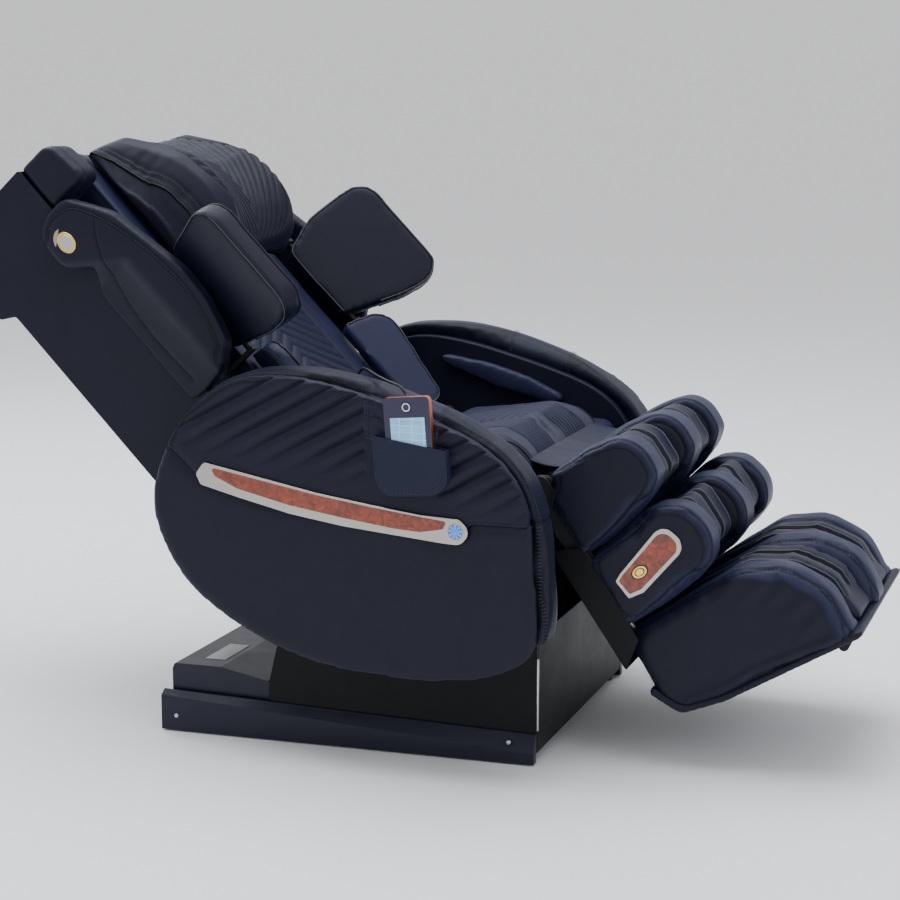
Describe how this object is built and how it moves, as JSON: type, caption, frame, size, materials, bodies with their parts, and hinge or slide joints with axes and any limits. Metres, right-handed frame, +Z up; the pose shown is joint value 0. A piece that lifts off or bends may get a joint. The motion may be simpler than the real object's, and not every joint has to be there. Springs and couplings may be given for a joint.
{
  "type": "massage chair",
  "caption": "Reclining zero gravity massage chair with quilted arm pods, massage back, head pillow, shoulder wings, extending leg and foot rest and a handset.",
  "frame": {"origin": "on the floor, in the middle of the base between the side skirts and between the base's front and rear ends", "axes": "+Z up, the sitter faces -Y, +X is the sitter's left"},
  "size_m": [0.968, 1.6417, 1.0621],
  "materials": {
    "leather_navy": "coated leather look cover over foam, satin",
    "leather_quilt": "quilted leather look cover over foam",
    "leather_blue": "leather look cover, lighter where it faces the light",
    "leather_pocket": "single skin leather with stitched edges",
    "black_plastic": "smooth semi gloss moulding",
    "matte_black": "fine textured moulding",
    "skirt_metal": "satin powder coat",
    "frame_steel": "black powder coat",
    "bright_steel": "ground steel",
    "drive_housing": "bead blasted casting",
    "arm_core": "plywood",
    "chrome_trim": "champagne chrome",
    "burl_wood": "lacquered red burl",
    "gold_badge": "polished gold colour",
    "rubber": "matt",
    "handset_shell": "dark navy gloss with a copper edge",
    "screen_glass": "lit light blue screen",
    "white_plastic": "white",
    "jewel_blue": "clear blue jewel",
    "cord_black": "satin",
    "roller_white": "nylon",
    "pump_grey": "moulded"
  },
  "bodies": {
    "base": {"base_frame": "frame_steel", "hinge_stand": "frame_steel", "rubber_feet": "rubber", "side_skirts": "skirt_metal", "lower_panels": "black_plastic", "front_panel": "black_plastic", "rear_cover": "black_plastic", "control_box": "matte_black", "power_inlet": "matte_black", "air_pump": "pump_grey", "arm_frames": "arm_core", "arm_rolls": "leather_navy", "arm_quilts": "leather_quilt", "arm_side_panels": "leather_navy", "arm_pads": "leather_blue", "arm_trims": "chrome_trim", "arm_inlays": "burl_wood", "arm_pockets": "leather_pocket", "cord_gland": "matte_black", "handset_cord": "cord_black"},
    "wheels": {"transport_wheels": "matte_black"},
    "rocker": {"power_switch": "matte_black"},
    "jewel": {"power_button": "jewel_blue"},
    "handset": {"handset_body": "handset_shell", "handset_screen": "screen_glass"},
    "handset_key": {"handset_button": "white_plastic"},
    "seat": {"seat_frame": "frame_steel", "seat_pan": "arm_core", "seat_cushion": "leather_blue"},
    "back": {"back_frame": "frame_steel", "back_shell": "matte_black", "back_pads": "leather_blue", "side_bolsters": "leather_navy", "lumbar_wings": "leather_blue", "oval_badges": "gold_badge", "lift_drive": "bright_steel"},
    "wing_left": {"shoulder_wing_left": "leather_navy"},
    "wing_right": {"shoulder_wing_right": "leather_navy"},
    "pillow": {"head_pillow": "leather_quilt"},
    "carriage": {"massage_carriage": "drive_housing"},
    "kneader_left": {"kneading_arm_left": "drive_housing"},
    "kneader_right": {"kneading_arm_right": "drive_housing"},
    "roller_left": {"kneading_roller_left": "roller_white"},
    "roller_right": {"kneading_roller_right": "roller_white"},
    "leg": {"leg_frame": "frame_steel", "leg_shell": "matte_black", "leg_ridges": "leather_navy", "leg_troughs": "leather_navy", "calf_badges": "chrome_trim", "calf_inlays": "burl_wood"},
    "foot": {"foot_shell": "matte_black", "foot_ridges": "leather_navy", "foot_troughs": "leather_navy", "foot_rails": "bright_steel"},
    "back_drive": {"back_motor": "drive_housing"},
    "back_drive_rod": {"back_rod": "bright_steel"},
    "leg_drive": {"leg_motor": "drive_housing"},
    "leg_drive_rod": {"leg_rod": "bright_steel"},
    "seat_drive": {"seat_motor": "drive_housing"},
    "seat_drive_rod": {"seat_rod": "bright_steel"}
  },
  "joints": [
    {"name": "wheels_roll", "type": "hinge", "parent": "base", "child": "wheels", "pos_m": [0, 0.318, 0.027], "axis": [1, 0, 0], "continuous": true},
    {"name": "power_switch_rock", "type": "hinge", "parent": "base", "child": "rocker", "pos_m": [0.016, 0.336, 0.076], "axis": [1, 0, 0], "range_deg": [-8, 8]},
    {"name": "power_button_press", "type": "slide", "parent": "base", "child": "jewel", "axis": [1, 0, 0], "range_m": [0, 0.0015], "stiffness_N_per_m": 400},
    {"name": "handset_lift", "type": "slide", "parent": "base", "child": "handset", "axis": [0, 0.0785, 0.9969], "range_m": [0, 0.12], "deforming": ["handset_cord"]},
    {"name": "handset_key_press", "type": "slide", "parent": "handset", "child": "handset_key", "axis": [1, 0, 0], "range_m": [0, 0.0008], "stiffness_N_per_m": 300},
    {"name": "seat_tilt", "type": "hinge", "parent": "base", "child": "seat", "pos_m": [0, 0.06, 0.39], "axis": [1, 0, 0], "range_deg": [-8, 0]},
    {"name": "back_recline", "type": "hinge", "parent": "seat", "child": "back", "pos_m": [0, 0.06, 0.39], "axis": [1, 0, 0], "range_deg": [-30, 18]},
    {"name": "leg_lift", "type": "hinge", "parent": "seat", "child": "leg", "pos_m": [0, -0.35, 0.485], "axis": [1, 0, 0], "range_deg": [-45, 20]},
    {"name": "foot_extend", "type": "slide", "parent": "leg", "child": "foot", "axis": [0, 0.5621, 0.8271], "range_m": [-0.12, 0]},
    {"name": "shoulder_wing_left_swing", "type": "hinge", "parent": "back", "child": "wing_left", "pos_m": [0.262, 0.25055, 0.76033], "axis": [0, 0.6871, 0.7266], "range_deg": [-20, 0]},
    {"name": "shoulder_wing_right_swing", "type": "hinge", "parent": "back", "child": "wing_right", "pos_m": [-0.262, 0.25055, 0.76033], "axis": [0, 0.6871, 0.7266], "range_deg": [0, 20]},
    {"name": "pillow_flip", "type": "hinge", "parent": "back", "child": "pillow", "pos_m": [0, 0.55107, 1.04319], "axis": [1, 0, 0], "range_deg": [-110, 0]},
    {"name": "carriage_travel", "type": "slide", "parent": "back", "child": "carriage", "axis": [0, 0.6871, 0.7266], "range_m": [-0.34, 0.18]},
    {"name": "kneading_left", "type": "hinge", "parent": "carriage", "child": "kneader_left", "pos_m": [0.075, 0.3902, 0.72462], "axis": [1, 0, 0], "range_deg": [-5, 5]},
    {"name": "kneading_right", "type": "hinge", "parent": "carriage", "child": "kneader_right", "pos_m": [-0.075, 0.3902, 0.72462], "axis": [1, 0, 0], "range_deg": [-5, 5]},
    {"name": "roller_left_spin", "type": "hinge", "parent": "kneader_left", "child": "roller_left", "pos_m": [0.09, 0.45203, 0.79001], "axis": [1, 0, 0], "continuous": true},
    {"name": "roller_right_spin", "type": "hinge", "parent": "kneader_right", "child": "roller_right", "pos_m": [-0.09, 0.45203, 0.79001], "axis": [1, 0, 0], "continuous": true},
    {"name": "back_drive_swing", "type": "hinge", "parent": "seat", "child": "back_drive", "pos_m": [0.09, -0.24706, 0.34735], "axis": [1, 0, 0], "range_deg": [-8, 5]},
    {"name": "back_drive_extend", "type": "slide", "parent": "back_drive", "child": "back_drive_rod", "axis": [0, 0.9922, -0.1245], "range_m": [-0.056, 0.036]},
    {"name": "leg_drive_swing", "type": "hinge", "parent": "seat", "child": "leg_drive", "pos_m": [0, -0.03832, 0.29302], "axis": [1, 0, 0], "range_deg": [-3.5, 5.4]},
    {"name": "leg_drive_extend", "type": "slide", "parent": "leg_drive", "child": "leg_drive_rod", "axis": [0, -0.9419, 0.336], "range_m": [-0.0308, 0.0655]},
    {"name": "seat_drive_swing", "type": "hinge", "parent": "base", "child": "seat_drive", "pos_m": [-0.09, -0.2, 0.082], "axis": [1, 0, 0], "range_deg": [-3, 1]},
    {"name": "seat_drive_extend", "type": "slide", "parent": "seat_drive", "child": "seat_drive_rod", "axis": [0, -0.1429, 0.9897], "range_m": [-0.002, 0.045]}
  ],
  "couplings": [
    {"joint": "shoulder_wing_right_swing", "follows": "shoulder_wing_left_swing", "ratio": -1},
    {"joint": "kneading_right", "follows": "kneading_left", "ratio": -1},
    {"joint": "back_drive_swing", "follows": "back_recline", "ratio": 0.197},
    {"joint": "back_drive_extend", "follows": "back_recline", "m_per_rad": 0.085944},
    {"joint": "leg_drive_swing", "follows": "leg_lift", "ratio": -0.077},
    {"joint": "leg_drive_extend", "follows": "leg_lift", "m_per_rad": -0.079641},
    {"joint": "seat_drive_swing", "follows": "seat_tilt", "ratio": 0.13},
    {"joint": "seat_drive_extend", "follows": "seat_tilt", "m_per_rad": -0.29966}
  ]
}
